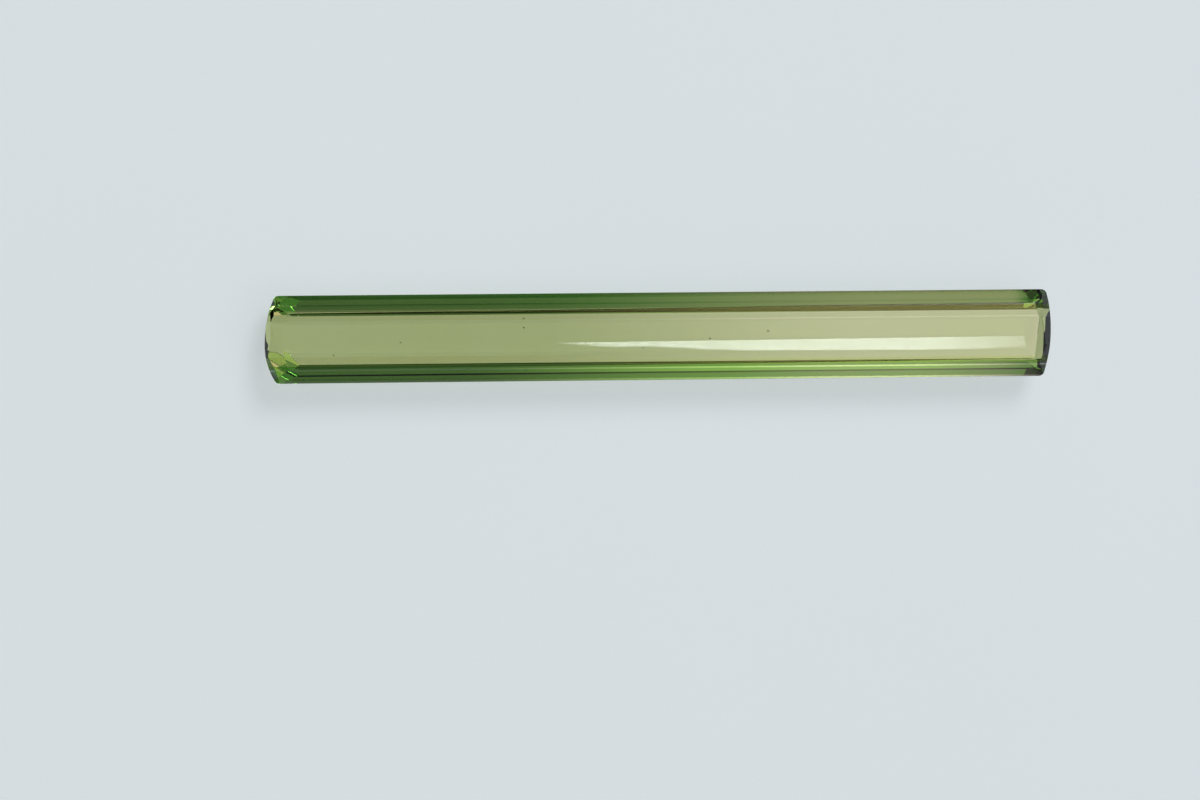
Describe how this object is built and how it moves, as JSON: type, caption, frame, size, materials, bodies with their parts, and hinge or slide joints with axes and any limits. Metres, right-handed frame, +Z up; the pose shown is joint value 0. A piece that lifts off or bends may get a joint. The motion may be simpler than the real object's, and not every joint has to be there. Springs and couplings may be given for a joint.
{
  "type": "tourmaline crystal",
  "caption": "Clear yellowish green cut tourmaline, a slim step-cut bar with curved faceted ends, lying on one of its two main pavilion facets.",
  "frame": {"origin": "centre of the stone's box at the surface that it lies on", "axes": "+X along the stone towards its squarer end, +Z up, the table faces up and leans towards +Y by the slope of the facet that the stone lies on"},
  "size_m": [0.0352, 0.0038, 0.0025],
  "materials": {
    "tourmaline": "clear, polished facets, yellowish green"
  },
  "bodies": {
    "root": {"tourmaline": "tourmaline"}
  },
  "joints": []
}
